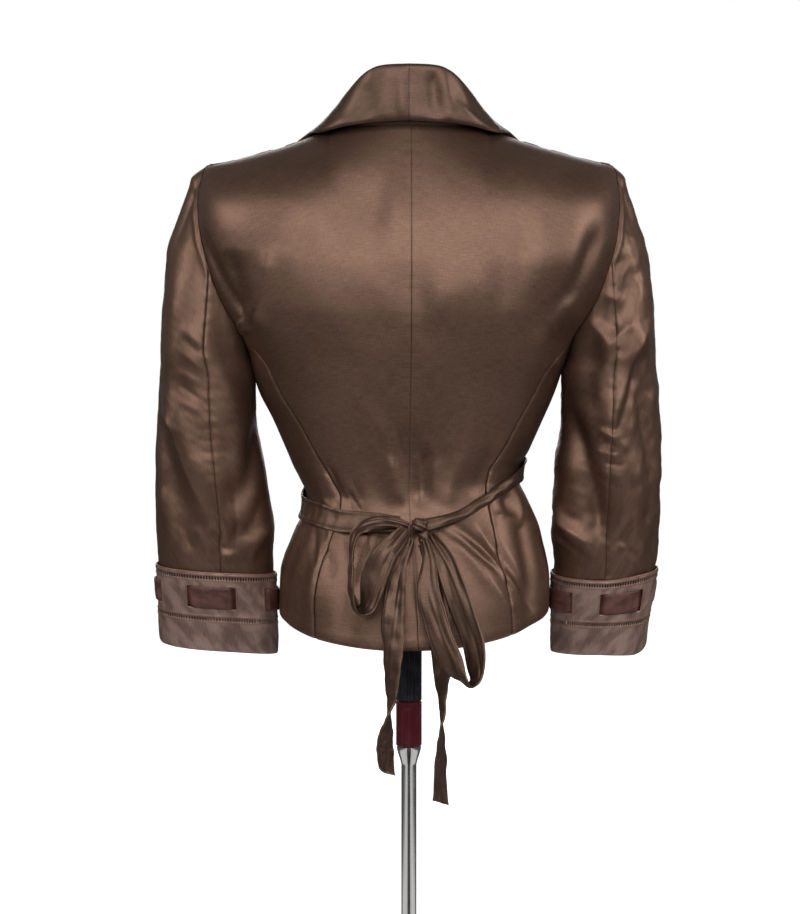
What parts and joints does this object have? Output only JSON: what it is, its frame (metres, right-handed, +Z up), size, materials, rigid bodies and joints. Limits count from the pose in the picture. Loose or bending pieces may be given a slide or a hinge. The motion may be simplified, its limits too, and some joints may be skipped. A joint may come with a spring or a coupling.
{
  "type": "blazer on a dress form with a stand",
  "caption": "Short satin blazer with a shawl collar, ribbon-laced cuffs and a tie belt bowed at the back, worn by a limbless dress form on a pole and a round base.",
  "frame": {"origin": "middle of the round base's underside, on the floor under the pole's axis", "axes": "+Z up along the pole, +Y towards the jacket's front, +X to the right of someone looking at the jacket's back"},
  "size_m": [0.491, 0.33, 0.9609],
  "materials": {
    "satin": "dark brown satin with a soft sheen",
    "cuff_satin": "dark brown satin, a little duller",
    "leather": "dark red-brown, matt",
    "form_cloth": "pale and matt",
    "black_lacquer": "gloss black",
    "red_lacquer": "gloss dark red",
    "chrome": "polished"
  },
  "bodies": {
    "root": {"back_left": "satin", "back_right": "satin", "side_left": "satin", "side_right": "satin", "front_left": "satin", "front_right": "satin", "collar_left": "satin", "collar_right": "satin", "sleeve_top_left": "satin", "sleeve_under_left": "satin", "sleeve_top_right": "satin", "sleeve_under_right": "satin", "belt_left": "satin", "belt_right": "satin", "bow_knot": "satin", "bow_loop_left": "satin", "bow_loop_right": "satin", "tie_end_left": "satin", "tie_end_right": "satin", "cuff_left_back": "cuff_satin", "cuff_left_front": "cuff_satin", "cuff_right_back": "cuff_satin", "cuff_right_front": "cuff_satin", "cuff_ribbon_left": "leather", "cuff_ribbon_right": "leather", "form_torso": "form_cloth", "post_black": "black_lacquer", "post_red": "red_lacquer", "pole": "chrome", "socket": "chrome", "base": "chrome"}
  },
  "joints": []
}
